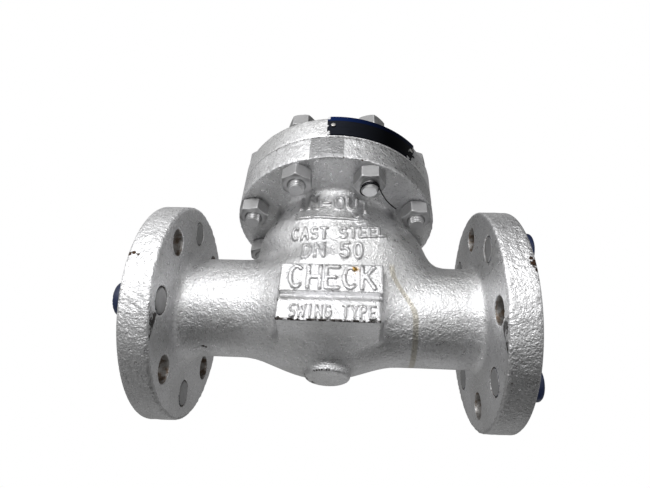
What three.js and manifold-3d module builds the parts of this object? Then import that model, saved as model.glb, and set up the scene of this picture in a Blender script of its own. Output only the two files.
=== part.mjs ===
// Flanged swing check valve, NPS 2, class 300, with a bolted cover and plastic flange protectors.
// Millimetres. X runs along the flow from the inlet (-X) to the outlet (+X), and Z points up through
// the cover. The origin is the point where the flow axis meets the cover axis.
import * as THREE from 'three';
import { mergeVertices } from 'three/addons/utils/BufferGeometryUtils.js';
import Module from 'manifold-3d';

const wasm = await Module();
wasm.setup();

// ---------------------------------------------------------------- driving dimensions

const GAP = 0.3; // clearance left between two pieces that touch
const OVERRUN = 4; // how far a cutting tool reaches past the face it cuts
const OVERLAP = 1; // how far two joined shapes reach into each other

// Facets round each size of circle.
const SIDES = { large: 44, inside: 32, part: 24, rough: 16, hole: 12, small: 8 };

const FACE_X = 133.5; // half of the 267 mm face-to-face length
const BORE_R = 25.4;
const PIPE_R = 38.5; // outside of the run beside the end flanges

const FLANGE = { r: 82.5, front: 131.9, back: 111.1, edge: 1.2, fillet: 8 };
const RAISED_R = 46.05;
const BOLT_CIRCLE_R = 63.5;
const BOLT_HOLE_R = 9.55;
const BOLT_COUNT = 8;

const INLET_RISE = 3.8; // the run beside the inlet flange is cast a little above the flow axis
const NECK = { r: 51.5, low: 20, bore_r: 40 };
// Rounded masses that the neck and the run blend into: centre [x, y, z] and half-axes [x, y, z].
const BOWL = { at: [-4, 0, 0], half: [56, 53, 49] };
const INLET_SWELL = { at: [-10, 0, 55], half: [53, 50, 34] };
const OUTLET_SWELL = { at: [27, 0, 36], half: [52, 52, 52] };
const SWELL_WALL = 10;
const TOP_FLANGE = { r: 86, under: 87, face: 110, edge: 1.5, fillet: 8 };
const COVER = { under: 110.5, top: 133.5, boss_r: 40, boss_h: 3 };
const SPIGOT = { r: 47.6, recess_r: 48, recess_z: 106, gasket_in: 41, gasket_h: 2 };

const DRAIN_BOSS = { r: 16.5, z: -52, edge: 1, root_r: 18.5, root_z: -40 };

const CHAMBER_R = 36;
const BRIDGE_X = -27; // chamber side of the wall that carries the seat
const LEDGE_Z = 40; // top of that wall, where the hinge bracket sits
const TAPER = { start: 28, end: 60 }; // the chamber narrows to the outlet bore along this stretch

const SEAT_TILT = THREE.MathUtils.degToRad(7);
const SEAT = { x: -22, r: 30.7, pocket: 9 };

const DISC = { r: 31, back: 7, rim: 5, bevel: 5, dish: 1 };
const DISC_STUD = { r: 5, end: 27, tip: 1 };
const PIN = { r: 4, up: 44, out: 9, half: 17.5, edge: 0.8 }; // hinge pin, up and out from the seat's centre
const ARM = { hub_r: 7.5, half: 9.6, ring_r: 11, width: 14, under: 7.3, over: 14.3 };
const DISC_WASHER = { r: 10, under: 14.6, over: 16.1 };
const DISC_NUT = { flats: 19, under: 16.4, over: 24.2 };
const SPLIT_PIN = { r: 0.8, at: 25.6, half: 12, eye: 2 };

const BRACKET = { back: -36, front: -27.3, half: 16, ear: 5.8, height: 8, ear_r: 6.7 };
const BRACKET_SCREW = { r: 2.5, x: -31.8, y: 5.2, depth: 8, flats: 8, head: 3.5 };

const STUD = { r: 6.35, circle_r: 73.5, bottom: 69, top: 149, tip: 1.2, hole_r: 7.15, count: 8 };
const HEX = { flats: 22.2, height: 12.3 };
const LOWER_NUT_TURNS = [30, 38, 12, 48, 20, 5, 22, 0]; // from a corner towards -Y, in degrees
const UPPER_NUT_TURNS = [15, 42, 8, 27, 51, 33, 3, 24];

const PLATE = { from: -4, to: 49, thick: 0.8, low: 111.6, high: 133.3, pin_inset: 3.2 };
const PLATE_PIN = { shank: 1.2, head: 2, crown: 1.4, head_h: 1, round: 0.2, depth: 4 };

const PAD = {
  left: -33.3, right: 36.6, face: -60, shelf: -54.5, root: -36,
  high: 8.2, step: -14.2, low_top: -20.5, low: -36.5,
};

const PROTECTOR = {
  plate_x: 132.2, thick: 2.6, dome_in: 135.9, dome_out: 138.4, dome_r: 52, dome_bevel: 2, lip: 1.5,
  well_r: 47.4, peg_r: 9.2, peg_end: 111.1, peg_bevel: 1,
  button_r: 12.5, button_x: 140, button_bevel: 3, arm: 15,
};
const INLET_PEGS = [-22.5, 67.5, 157.5, -112.5]; // bolt holes with a peg in, degrees from -Y towards +Z
const OUTLET_PEGS = [22.5, 112.5, -157.5, -67.5];

// A wire wound down round one stud in a tilted coil; its free end, in the stud's own frame, springs away.
const WIRE = { r: 0.5, stud: 22.5, from: 210, to: 710, mid_z: 71.7, tilt: 1.4, pitch: 1.6, sides: 6 };
const WIRE_TAIL = [[9.4, 5.3, 73], [13.7, 17.7, 77], [18.3, 25.9, 79], [22.9, 31.8, 80]];

// ---------------------------------------------------------------- colours

const SILVER_PAINT = { color: 0xc9cbce, roughness: 0.42, metalness: 0.7 };
const BRIGHT_STEEL = { color: 0xb9babb, roughness: 0.3, metalness: 1 };
const DARK_STEEL = { color: 0x54565a, roughness: 0.4, metalness: 1 };
const PLATE_METAL = { color: 0x8d9096, roughness: 0.25, metalness: 1 };
const NAVY_PLASTIC = { color: 0x14224f, roughness: 0.4, metalness: 0 };
const GRAPHITE = { color: 0x3a3b3d, roughness: 0.7, metalness: 0.2 };

// ---------------------------------------------------------------- shape helpers

const deg = THREE.MathUtils.degToRad;

// A closed geometry as a manifold solid, with repeated vertices merged and empty triangles dropped.
function solid(geometry) {
  const bare = new THREE.BufferGeometry();
  bare.setAttribute('position', geometry.getAttribute('position').clone());
  bare.setIndex(geometry.getIndex());
  const merged = mergeVertices(bare, 1e-4);
  const index = merged.getIndex().array;
  const triangles = [];
  for (let i = 0; i < index.length; i += 3) {
    const [a, b, c] = [index[i], index[i + 1], index[i + 2]];
    if (a !== b && b !== c && c !== a) {
      triangles.push(a, b, c);
    }
  }
  return new wasm.Manifold(new wasm.Mesh({
    numProp: 3,
    vertProperties: new Float32Array(merged.getAttribute('position').array),
    triVerts: new Uint32Array(triangles),
  }));
}

function geometryOf(manifold) {
  const mesh = manifold.getMesh();
  const geometry = new THREE.BufferGeometry();
  geometry.setAttribute('position', new THREE.BufferAttribute(new Float32Array(mesh.vertProperties), 3));
  geometry.setIndex(new THREE.BufferAttribute(new Uint32Array(mesh.triVerts), 1));
  geometry.computeVertexNormals();
  return geometry;
}

const join = (first, ...rest) => rest.reduce((sum, piece) => sum.add(piece), first);
const cut = (first, ...rest) => rest.reduce((left, tool) => left.subtract(tool), first);

// Points along a circular arc in the profile plane, both ends included.
function arc(cx, cy, r, from, to, steps) {
  const points = [];
  for (let i = 0; i <= steps; i++) {
    const angle = deg(from + ((to - from) * i) / steps);
    points.push([cx + r * Math.cos(angle), cy + r * Math.sin(angle)]);
  }
  return points;
}

// A profile of [radius, height] points, from the low end of the axis to the high end, turned about Z.
function turned(profile, segments) {
  const points = profile.map(([r, h]) => new THREE.Vector2(r, h));
  return new THREE.LatheGeometry(points, segments).rotateX(Math.PI / 2);
}

// The same, turned about X.
function turnedX(profile, segments) {
  return turned(profile, segments).rotateY(Math.PI / 2);
}

// A closed ring of rectangular section about Z.
function ring(inner, outer, low, high, segments) {
  return turned([[inner, low], [outer, low], [outer, high], [inner, high], [inner, low]], segments);
}

// A cylinder about Z between two heights.
function rod(r, low, high, segments) {
  return new THREE.CylinderGeometry(r, r, high - low, segments)
    .rotateX(Math.PI / 2)
    .translate(0, 0, (low + high) / 2);
}

function rodX(r, low, high, segments) {
  return rod(r, low, high, segments).rotateY(Math.PI / 2);
}

function rodY(r, low, high, segments) {
  return rod(r, low, high, segments).rotateX(-Math.PI / 2);
}

function box(x0, x1, y0, y1, z0, z1) {
  return new THREE.BoxGeometry(x1 - x0, y1 - y0, z1 - z0)
    .translate((x0 + x1) / 2, (y0 + y1) / 2, (z0 + z1) / 2);
}

// A hexagonal nut about Z with a round hole through it.
function hexNut(flats, hole_r, low, high) {
  const prism = rod(flats / Math.sqrt(3), low, high, 6);
  return cut(solid(prism), solid(rod(hole_r, low - OVERRUN, high + OVERRUN, SIDES.hole)));
}

// Moves something built about Z onto the cover's stud circle; psi runs from -Y towards +X.
function onStudCircle(geometry, psi, turn = 0) {
  return geometry
    .rotateZ(deg(turn))
    .translate(STUD.circle_r * Math.sin(deg(psi)), -STUD.circle_r * Math.cos(deg(psi)), 0);
}

// Moves something built about X onto an end flange's bolt circle; phi runs from -Y towards +Z.
function onBoltCircle(geometry, phi) {
  return geometry.translate(0, -BOLT_CIRCLE_R * Math.cos(deg(phi)), BOLT_CIRCLE_R * Math.sin(deg(phi)));
}

const studAngles = Array.from({ length: STUD.count }, (_, i) => 22.5 + (360 / STUD.count) * i);
const boltAngles = Array.from({ length: BOLT_COUNT }, (_, i) => 22.5 + (360 / BOLT_COUNT) * i);

// Places a geometry built about Z on the seat's tilted axis, with z = 0 on the seat face.
function onSeatAxis(geometry) {
  return geometry.rotateY(Math.PI / 2 - SEAT_TILT).translate(SEAT.x, 0, 0);
}

// The hinge pin's centre line, worked out from the seat.
const HINGE = {
  x: SEAT.x - PIN.up * Math.sin(SEAT_TILT) + PIN.out * Math.cos(SEAT_TILT),
  z: PIN.up * Math.cos(SEAT_TILT) + PIN.out * Math.sin(SEAT_TILT),
};

const group = new THREE.Group();

function add(name, geometry, look) {
  const mesh = new THREE.Mesh(geometry, new THREE.MeshStandardMaterial(look));
  mesh.name = name;
  group.add(mesh);
}

// ---------------------------------------------------------------- valve body

// The outlet's end flange with its raised face; the inlet's is the same one turned round.
function endFlange() {
  const { r, front, back, edge } = FLANGE;
  return turnedX([
    [0, back],
    [r - edge, back],
    [r, back + edge],
    [r, front - edge],
    [r - edge, front],
    [RAISED_R, front],
    [RAISED_R, FACE_X],
    [0, FACE_X],
  ], SIDES.large);
}

// The outlet's half of the run, flared into the back of its flange.
function halfRun() {
  const { back, fillet } = FLANGE;
  return turnedX([
    [0, 0],
    [PIPE_R, 0],
    ...arc(PIPE_R + fillet, back - fillet, fillet, 180, 90, 3),
    [PIPE_R + fillet, back + OVERLAP],
    [0, back + OVERLAP],
  ], SIDES.large);
}

function runOutside() {
  return join(
    solid(endFlange()),
    solid(halfRun()),
    solid(endFlange().rotateZ(Math.PI)),
    solid(halfRun().rotateZ(Math.PI).translate(0, 0, INLET_RISE)),
  );
}

// The neck and the round flange that the cover bolts to.
function neckOutside() {
  const { r, under, face, edge, fillet } = TOP_FLANGE;
  return solid(turned([
    [0, NECK.low],
    [NECK.r, NECK.low],
    ...arc(NECK.r + fillet, under - fillet, fillet, 180, 90, 3),
    [r - edge, under],
    [r, under + edge],
    [r, face - edge],
    [r - edge, face],
    [0, face],
  ], SIDES.large));
}

// A rounded mass; wall takes that much off all its half-axes, for the hollow inside it.
function mass({ at, half }, wall, sides) {
  const ball = new THREE.SphereGeometry(1, sides, sides / 2).rotateX(Math.PI / 2);
  return solid(ball.scale(...half.map((length) => length - wall)).translate(...at));
}

function drainBoss() {
  const { r, z, edge, root_r, root_z } = DRAIN_BOSS;
  return solid(turned([[0, z], [r - edge, z], [r, z + edge], [root_r, root_z], [0, root_z]], SIDES.part));
}

// The flat name pad on the front: an upper block over a sloping shelf and a lower block.
function namePad() {
  const { face, root, high, step, shelf, low_top, low } = PAD;
  const outline = new THREE.Shape();
  outline.moveTo(root, high);
  outline.lineTo(face, high);
  outline.lineTo(face, step);
  outline.lineTo(shelf, step);
  outline.lineTo(face, low_top);
  outline.lineTo(face, low);
  outline.lineTo(root, low);
  outline.closePath();
  return solid(new THREE.ExtrudeGeometry(outline, { depth: PAD.right - PAD.left, bevelEnabled: false })
    .rotateX(Math.PI / 2)
    .rotateZ(Math.PI / 2)
    .translate(PAD.left, 0, 0));
}

// Everything hollow: both bores, the chamber, the neck bore, the gasket recess and the seat pocket.
function hollows() {
  const chamber = solid(turnedX([
    [0, BRIDGE_X],
    [CHAMBER_R, BRIDGE_X],
    [CHAMBER_R, TAPER.start],
    [BORE_R, TAPER.end],
    [BORE_R, FACE_X + OVERRUN],
    [0, FACE_X + OVERRUN],
  ], SIDES.inside));
  const inlet = solid(rodX(BORE_R, -FACE_X - OVERRUN, BRIDGE_X + OVERRUN, SIDES.inside));
  const pocket = solid(rodX(SEAT.r + GAP, BRIDGE_X - SEAT.pocket, BRIDGE_X + OVERRUN, SIDES.inside));
  const neck = solid(turned([
    [0, 0],
    [NECK.bore_r, 0],
    [NECK.bore_r, SPIGOT.recess_z],
    [SPIGOT.recess_r, SPIGOT.recess_z],
    [SPIGOT.recess_r, TOP_FLANGE.face + OVERRUN],
    [0, TOP_FLANGE.face + OVERRUN],
  ], SIDES.inside));
  const bridge = solid(box(-2 * NECK.r, BRIDGE_X, -NECK.r, NECK.r, -NECK.r, LEDGE_Z));
  const swells = [INLET_SWELL, OUTLET_SWELL].map((swell) => mass(swell, SWELL_WALL, SIDES.rough));
  return join(chamber, inlet, pocket, cut(join(neck, ...swells), bridge));
}

function bodyGeometry() {
  const masses = [BOWL, INLET_SWELL, OUTLET_SWELL].map((shape) => mass(shape, 0, SIDES.part));
  const outside = join(runOutside(), neckOutside(), ...masses, drainBoss(), namePad());
  const hole = () => rodX(BOLT_HOLE_R, FLANGE.back - OVERRUN, FLANGE.front + OVERRUN, SIDES.hole);
  const endHoles = boltAngles.flatMap((phi) => [
    solid(onBoltCircle(hole(), phi)),
    solid(onBoltCircle(hole().rotateZ(Math.PI), phi)),
  ]);
  const studHoles = studAngles.map((psi) => solid(
    onStudCircle(rod(STUD.hole_r, TOP_FLANGE.under - OVERRUN, TOP_FLANGE.face + OVERRUN, SIDES.hole), psi),
  ));
  const { r, x, y, depth } = BRACKET_SCREW;
  const tapped = [-y, y].map((side) => solid(
    rod(r + GAP, LEDGE_Z - depth - GAP, LEDGE_Z + OVERRUN, SIDES.small).translate(x, side, 0),
  ));
  return geometryOf(cut(outside, hollows(), ...endHoles, ...studHoles, ...tapped));
}

// ---------------------------------------------------------------- seat, disc and hinge

// The seat ring's outer end is cut off at the seat's tilt.
function seatRingGeometry() {
  const tube = cut(
    solid(rodX(SEAT.r, BRIDGE_X - SEAT.pocket + GAP, 0, SIDES.inside)),
    solid(rodX(BORE_R, -2 * FACE_X, OVERRUN, SIDES.inside)),
  );
  const beyond = onSeatAxis(rod(2 * SEAT.r, 0, 2 * SEAT.r, SIDES.small));
  return geometryOf(cut(tube, solid(beyond)));
}

function discGeometry() {
  const { r, back, rim, bevel, dish } = DISC;
  const stud = DISC_STUD;
  const turning = solid(turned([
    [0, GAP + dish],
    [BORE_R - 3 * dish, GAP + dish],
    [BORE_R - dish, GAP],
    [r, GAP],
    [r, rim],
    [r - bevel, back],
    [stud.r, back],
    [stud.r, stud.end - stud.tip],
    [stud.r - stud.tip, stud.end],
    [0, stud.end],
  ], SIDES.part));
  const hole = rodY(SPLIT_PIN.r + GAP, -2 * stud.r, 2 * stud.r, SIDES.small).translate(0, 0, SPLIT_PIN.at);
  return onSeatAxis(geometryOf(cut(turning, solid(hole))));
}

// The swing arm: a hub on the hinge pin, a bar, and a ring round the disc's stud.
function armGeometry() {
  const { hub_r, half, ring_r, width, under, over } = ARM;
  const pin_z = PIN.out;
  const hub = rodY(hub_r, -half, half, SIDES.part).translate(-PIN.up, 0, pin_z);
  const bar = box(-PIN.up, 0, -width / 2, width / 2, under, over);
  const eye = rod(ring_r, under, over, SIDES.part);
  const whole = join(solid(hub), solid(bar), solid(eye));
  const pin_hole = rodY(PIN.r + GAP, -2 * half, 2 * half, SIDES.hole).translate(-PIN.up, 0, pin_z);
  const stud_hole = rod(DISC_STUD.r + GAP, under - OVERRUN, over + OVERRUN, SIDES.hole);
  return onSeatAxis(geometryOf(cut(whole, solid(pin_hole), solid(stud_hole))));
}

// A split pin: a straight double leg with a round eye at one end, through the disc's stud.
function splitPinGeometry() {
  const { r, at, half, eye } = SPLIT_PIN;
  const leg = rodY(r, -half, half, SIDES.small);
  const loop = new THREE.TorusGeometry(eye, r, SIDES.small, SIDES.hole)
    .rotateY(Math.PI / 2)
    .translate(0, half + eye, 0);
  return onSeatAxis(geometryOf(join(solid(leg), solid(loop))).translate(0, 0, at));
}

function bracketGeometry() {
  const { back, front, half, ear, height, ear_r } = BRACKET;
  const [low, high] = [LEDGE_Z + GAP, LEDGE_Z + GAP + height];
  const base = solid(box(back, front, -half, half, low, high));
  const ears = [-half, half - ear].flatMap((y) => [
    solid(rodY(ear_r, y, y + ear, SIDES.part).translate(HINGE.x, 0, HINGE.z)),
    solid(box(front - OVERLAP, HINGE.x, y, y + ear, low, high)),
  ]);
  const pin_hole = solid(rodY(PIN.r + GAP, -2 * half, 2 * half, SIDES.hole).translate(HINGE.x, 0, HINGE.z));
  const { r, x, y } = BRACKET_SCREW;
  const screw_holes = [-y, y].map((side) => solid(
    rod(r + GAP, low - OVERRUN, high + OVERRUN, SIDES.small).translate(x, side, 0),
  ));
  return geometryOf(cut(join(base, ...ears), pin_hole, ...screw_holes));
}

function bracketScrewGeometry(side) {
  const { r, x, y, depth, flats, head } = BRACKET_SCREW;
  const seat = LEDGE_Z + BRACKET.height + 2 * GAP;
  const shank = solid(rod(r, LEDGE_Z - depth, seat + OVERLAP, SIDES.small));
  const hex = solid(rod(flats / Math.sqrt(3), seat, seat + head, 6));
  return geometryOf(join(shank, hex)).translate(x, side * y, 0);
}

function hingePinGeometry() {
  const { r, half, edge } = PIN;
  const top = [[r, half - edge], [r - edge, half], [0, half]];
  return turned([[0, -half], [r - edge, -half], [r, edge - half], ...top], SIDES.hole)
    .rotateX(Math.PI / 2)
    .translate(HINGE.x, 0, HINGE.z);
}

// ---------------------------------------------------------------- cover and fasteners

const plate_mid = (PLATE.low + PLATE.high) / 2;
const platePinAngles = [PLATE.from + PLATE.pin_inset, PLATE.to - PLATE.pin_inset];

// Moves something built about Z so that it stands out of the cover's rim at psi, half way up the plate.
function onPlate(geometry, psi) {
  return geometry
    .rotateX(Math.PI / 2)
    .translate(0, 0, plate_mid)
    .rotateZ(deg(psi));
}

function coverGeometry() {
  const { r, edge } = TOP_FLANGE;
  const { under, top, boss_r, boss_h } = COVER;
  const spigot = SPIGOT.recess_z + SPIGOT.gasket_h + 2 * GAP;
  const whole = solid(turned([
    [0, spigot],
    [SPIGOT.r - 1, spigot],
    [SPIGOT.r, spigot + 1],
    [SPIGOT.r, under],
    [r - edge, under],
    [r, under + edge],
    [r, top - 2 * edge],
    [r - 2 * edge, top],
    [boss_r + 2, top],
    [boss_r, top + boss_h],
    [0, top + boss_h],
  ], SIDES.large));
  const studHoles = studAngles.map((psi) => solid(
    onStudCircle(rod(STUD.hole_r, under - OVERRUN, top + OVERRUN, SIDES.hole), psi),
  ));
  const { shank, depth } = PLATE_PIN;
  const pinHoles = platePinAngles.map((psi) => solid(
    onPlate(rod(shank + GAP, r - depth - GAP, r + OVERRUN, SIDES.small), psi),
  ));
  return geometryOf(cut(whole, ...studHoles, ...pinHoles));
}

function gasketGeometry() {
  const low = SPIGOT.recess_z + GAP;
  return ring(SPIGOT.gasket_in, SPIGOT.r, low, low + SPIGOT.gasket_h, SIDES.inside);
}

function studGeometry(psi) {
  const { r, bottom, top, tip } = STUD;
  const lower = [[0, bottom], [r - tip, bottom], [r, bottom + tip]];
  const upper = [[r, top - tip], [r - tip, top], [0, top]];
  return onStudCircle(turned([...lower, ...upper], SIDES.hole), psi);
}

function nutGeometry(psi, low, turn) {
  const nut = hexNut(HEX.flats, STUD.r + GAP, low, low + HEX.height);
  return onStudCircle(geometryOf(nut), psi, turn);
}

// The curved nameplate that wraps part of the cover's rim.
function nameplateGeometry() {
  const inner = TOP_FLANGE.r + GAP;
  const outer = inner + PLATE.thick;
  const [from, to] = [deg(PLATE.from - 90), deg(PLATE.to - 90)];
  const outline = new THREE.Shape();
  outline.absarc(0, 0, outer, from, to, false);
  outline.absarc(0, 0, inner, to, from, true);
  outline.closePath();
  const sheet = new THREE.ExtrudeGeometry(outline, {
    depth: PLATE.high - PLATE.low, bevelEnabled: false, curveSegments: SIDES.small,
  }).translate(0, 0, PLATE.low);
  const holes = platePinAngles.map((psi) => solid(
    onPlate(rod(PLATE_PIN.shank + GAP, inner - OVERRUN, outer + OVERRUN, SIDES.small), psi),
  ));
  return geometryOf(cut(solid(sheet), ...holes));
}

function platePinGeometry(psi) {
  const { shank, head, crown, head_h, round, depth } = PLATE_PIN;
  const seat = TOP_FLANGE.r + PLATE.thick + 2 * GAP;
  const profile = [
    [0, TOP_FLANGE.r - depth],
    [shank, TOP_FLANGE.r - depth],
    [shank, seat],
    [head, seat],
    [head, seat + head_h / 2],
    [crown, seat + head_h - round],
    [0, seat + head_h],
  ];
  return onPlate(turned(profile, SIDES.small), psi);
}

function tagWireGeometry() {
  const reach = STUD.r + GAP + WIRE.r;
  const middle = (WIRE.from + WIRE.to) / 2;
  const steps = 16;
  const points = [];
  for (let i = 0; i <= steps; i++) {
    const turn = WIRE.from + ((WIRE.to - WIRE.from) * i) / steps;
    const z = WIRE.mid_z + WIRE.tilt * Math.cos(deg(turn)) - (WIRE.pitch * (turn - middle)) / 360;
    points.push(new THREE.Vector3(reach * Math.cos(deg(turn)), reach * Math.sin(deg(turn)), z));
  }
  WIRE_TAIL.forEach((point) => points.push(new THREE.Vector3(...point)));
  const section = new THREE.Shape();
  section.absarc(0, 0, WIRE.r, 0, 2 * Math.PI, false);
  const wire = new THREE.ExtrudeGeometry(section, {
    steps: 48,
    curveSegments: WIRE.sides / 2,
    bevelEnabled: false,
    extrudePath: new THREE.CatmullRomCurve3(points),
  });
  return onStudCircle(wire, WIRE.stud);
}

// ---------------------------------------------------------------- flange protectors

// A push-in protector for the outlet flange: a dished cap, four buttons joined to it by arms, and pegs.
function protectorGeometry(pegs) {
  const p = PROTECTOR;
  const cap = solid(turnedX([
    [0, p.dome_in],
    [p.well_r, p.dome_in],
    [p.well_r, p.plate_x],
    [p.dome_r + p.lip, p.plate_x],
    [p.dome_r + p.lip, p.plate_x + p.thick],
    [p.dome_r, p.plate_x + p.thick],
    [p.dome_r - p.dome_bevel, p.dome_out],
    [0, p.dome_out],
  ], SIDES.inside));
  const buttons = pegs.flatMap((phi) => [
    solid(onBoltCircle(turnedX([
      [0, p.peg_end],
      [p.peg_r - p.peg_bevel, p.peg_end],
      [p.peg_r, p.peg_end + p.peg_bevel],
      [p.peg_r, p.plate_x],
      [p.button_r, p.plate_x],
      [p.button_r, p.button_x - p.button_bevel],
      [p.button_r - p.button_bevel, p.button_x],
      [0, p.button_x],
    ], SIDES.hole), phi)),
    solid(box(p.plate_x, p.plate_x + p.thick, -p.arm / 2, p.arm / 2, p.dome_r - OVERLAP, BOLT_CIRCLE_R)
      .rotateX(deg(90 - phi))),
  ]);
  return join(cap, ...buttons);
}

// ---------------------------------------------------------------- assembly

add('body', bodyGeometry(), SILVER_PAINT);
add('seat_ring', seatRingGeometry(), BRIGHT_STEEL);
add('cover', coverGeometry(), SILVER_PAINT);
add('cover_gasket', gasketGeometry(), GRAPHITE);

studAngles.forEach((psi, i) => {
  const lower = TOP_FLANGE.under - GAP - HEX.height;
  add(`cover_stud_${i + 1}`, studGeometry(psi), SILVER_PAINT);
  add(`lower_nut_${i + 1}`, nutGeometry(psi, lower, LOWER_NUT_TURNS[i]), SILVER_PAINT);
  add(`upper_nut_${i + 1}`, nutGeometry(psi, COVER.top + GAP, UPPER_NUT_TURNS[i]), SILVER_PAINT);
});

add('nameplate', nameplateGeometry(), PLATE_METAL);
platePinAngles.forEach((psi, i) => add(`nameplate_pin_${i + 1}`, platePinGeometry(psi), BRIGHT_STEEL));

add('hinge_bracket', bracketGeometry(), BRIGHT_STEEL);
[-1, 1].forEach((side, i) => add(`bracket_screw_${i + 1}`, bracketScrewGeometry(side), BRIGHT_STEEL));
add('hinge_pin', hingePinGeometry(), BRIGHT_STEEL);
add('swing_arm', armGeometry(), BRIGHT_STEEL);

add('disc', discGeometry(), BRIGHT_STEEL);
add('disc_washer', onSeatAxis(ring(
  DISC_STUD.r + GAP, DISC_WASHER.r, DISC_WASHER.under, DISC_WASHER.over, SIDES.hole,
)), BRIGHT_STEEL);
add('disc_nut', onSeatAxis(geometryOf(hexNut(
  DISC_NUT.flats, DISC_STUD.r + GAP, DISC_NUT.under, DISC_NUT.over,
))), BRIGHT_STEEL);
add('split_pin', splitPinGeometry(), DARK_STEEL);

add('outlet_protector', geometryOf(protectorGeometry(OUTLET_PEGS)), NAVY_PLASTIC);
add(
  'inlet_protector',
  geometryOf(protectorGeometry(INLET_PEGS.map((phi) => 180 - phi))).rotateZ(Math.PI),
  NAVY_PLASTIC,
);
add('tag_wire', tagWireGeometry(), DARK_STEEL);

export default group;
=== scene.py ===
"""Looks for a flanged swing check valve with a bolted cover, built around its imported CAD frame.

Shapes are worked out in millimetres in the frame's own axes (X along the flow, Z up through the cover)
and scaled to metres when they become meshes. Cast pieces are surfaces of a distance field.
"""

import itertools
import math

import bpy
import numpy as np
import openvdb
from mathutils import Matrix, Vector


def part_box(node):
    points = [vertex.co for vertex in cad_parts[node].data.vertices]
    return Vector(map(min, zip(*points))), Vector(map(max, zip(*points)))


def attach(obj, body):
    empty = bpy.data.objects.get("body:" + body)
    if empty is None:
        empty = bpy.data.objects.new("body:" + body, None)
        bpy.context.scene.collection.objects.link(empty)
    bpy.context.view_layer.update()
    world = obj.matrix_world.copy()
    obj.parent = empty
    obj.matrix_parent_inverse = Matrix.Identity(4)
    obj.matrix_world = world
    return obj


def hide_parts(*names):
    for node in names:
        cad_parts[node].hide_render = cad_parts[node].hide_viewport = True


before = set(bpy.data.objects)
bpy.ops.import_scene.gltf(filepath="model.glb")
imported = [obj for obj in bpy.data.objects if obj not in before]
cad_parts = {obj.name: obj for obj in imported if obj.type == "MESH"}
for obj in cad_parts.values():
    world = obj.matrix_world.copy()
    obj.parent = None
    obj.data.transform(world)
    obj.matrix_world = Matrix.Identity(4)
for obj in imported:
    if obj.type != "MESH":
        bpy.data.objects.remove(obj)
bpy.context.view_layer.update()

MM = 0.001


def box_mm(node):
    """Lowest and highest corner of a CAD node, in millimetres."""
    low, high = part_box(node)
    return np.array(low) / MM, np.array(high) / MM


# ---------------------------------------------------------------- sizes taken from the frame

body_low, body_high = box_mm("body")
cover_low, cover_high = box_mm("cover")
FACE_X = body_high[0]
TOP_FACE = body_high[2]

# ---------------------------------------------------------------- driving sizes, millimetres

FLANGE = {"r": 82.5, "front": 131.9, "back": 111.1, "round": 1.5, "fillet": 8}
RAISED_R = 46.05
BOLT_CIRCLE_R = 63.5
BOLT_HOLE_R = 9.55
PIPE = {"r": 38.5, "from": -112, "to": 110}
BORE_R = 25.4
INLET_RISE = {"high": 3.8, "start": (-112, -96), "end": (-70, -30)}  # the lift and where it fades
NECK = {"r": 51.5, "low": 20, "high": 100, "bore_r": 40}
BOWL = ((-4, 0, 0), (56, 53, 49))
INLET_SWELL = ((-10, 0, 55), (53, 50, 34))
OUTLET_SWELL = ((27, 0, 36), (52, 52, 52))
SWELL_WALL = 10
TOP_FLANGE = {"r": 86, "under": 87, "round": 1.5, "fillet": 8}
COVER = {"under": 110.5, "top": 133.5, "boss_r": 41, "boss_h": 3, "spigot_r": 47.6, "spigot_z": 108.6}
RECESS = {"r": 48, "z": 106}
STUD_CIRCLE_R = 73.5
STUD_HOLE_R = 7.15
CHAMBER = {"r": 36, "from": -27, "taper": (28, 60)}
SEAT_POCKET = {"r": 31, "from": -36}
LEDGE_Z = 40
SEAM = {"r": 81, "high": 0.4}  # paint that bridges the joint under the cover
DRAIN_BOSS = {"r": 16.5, "z": -52, "top": -28, "round": 2}
PAD = {"left": -33.4, "right": 37.8, "face": -60, "high": 8.2, "step": -14.2}
LOW_PAD = {"left": -33.2, "right": 35.6, "face": -60.5, "high": -19.5, "low": -36.5}
PAD_CORE = {"face": -55, "high": 3, "low": -33}
PAD_ROOT = -30  # how far back the pads' blocks reach into the casting
# Fillet widths between the casting's masses; the pad's grows by pad_foot toward its foot.
FILLET = {"swell": 10, "bowl": 12, "pipe": 14, "boss": 4, "pad": 4, "pad_foot": 6, "foot_fade": (-34, -28)}

# ---------------------------------------------------------------- distance fields


def smooth_min(a, b, k):
    """The union of two fields, with a fillet about k wide between them."""
    h = np.clip(0.5 + 0.5 * (b - a) / k, 0, 1)
    return b + (a - b) * h - k * h * (1 - h)


def smooth_max(a, b, k):
    return -smooth_min(-a, -b, k)


def ramp(low, high, value):
    """0 below low, 1 above high, and a smooth step between."""
    t = np.clip((value - low) / (high - low), 0, 1)
    return t * t * (3 - 2 * t)


def rod_field(u, v, w, r, low, high, rounding=0.0):
    """A cylinder along w between two heights."""
    side = np.sqrt(u * u + v * v) - (r - rounding)
    end = np.abs(w - (low + high) / 2) - ((high - low) / 2 - rounding)
    outside = np.sqrt(np.maximum(side, 0) ** 2 + np.maximum(end, 0) ** 2)
    return outside + np.minimum(np.maximum(side, end), 0) - rounding


def ball_field(x, y, z, centre, half):
    """An ellipsoid; near its surface this is close to the true distance."""
    p = [(value - c) / h for value, c, h in zip((x, y, z), centre, half)]
    k0 = np.sqrt(sum(a * a for a in p))
    k1 = np.sqrt(sum((a / h) ** 2 for a, h in zip(p, half)))
    return k0 * (k0 - 1) / np.maximum(k1, 1e-6)


def block_field(x, y, z, low, high, rounding):
    q = [np.abs(value - (a + b) / 2) - (b - a) / 2 + rounding for value, a, b in zip((x, y, z), low, high)]
    outside = np.sqrt(sum(np.maximum(a, 0) ** 2 for a in q))
    return outside + np.minimum(np.maximum(q[0], np.maximum(q[1], q[2])), 0) - rounding


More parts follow.
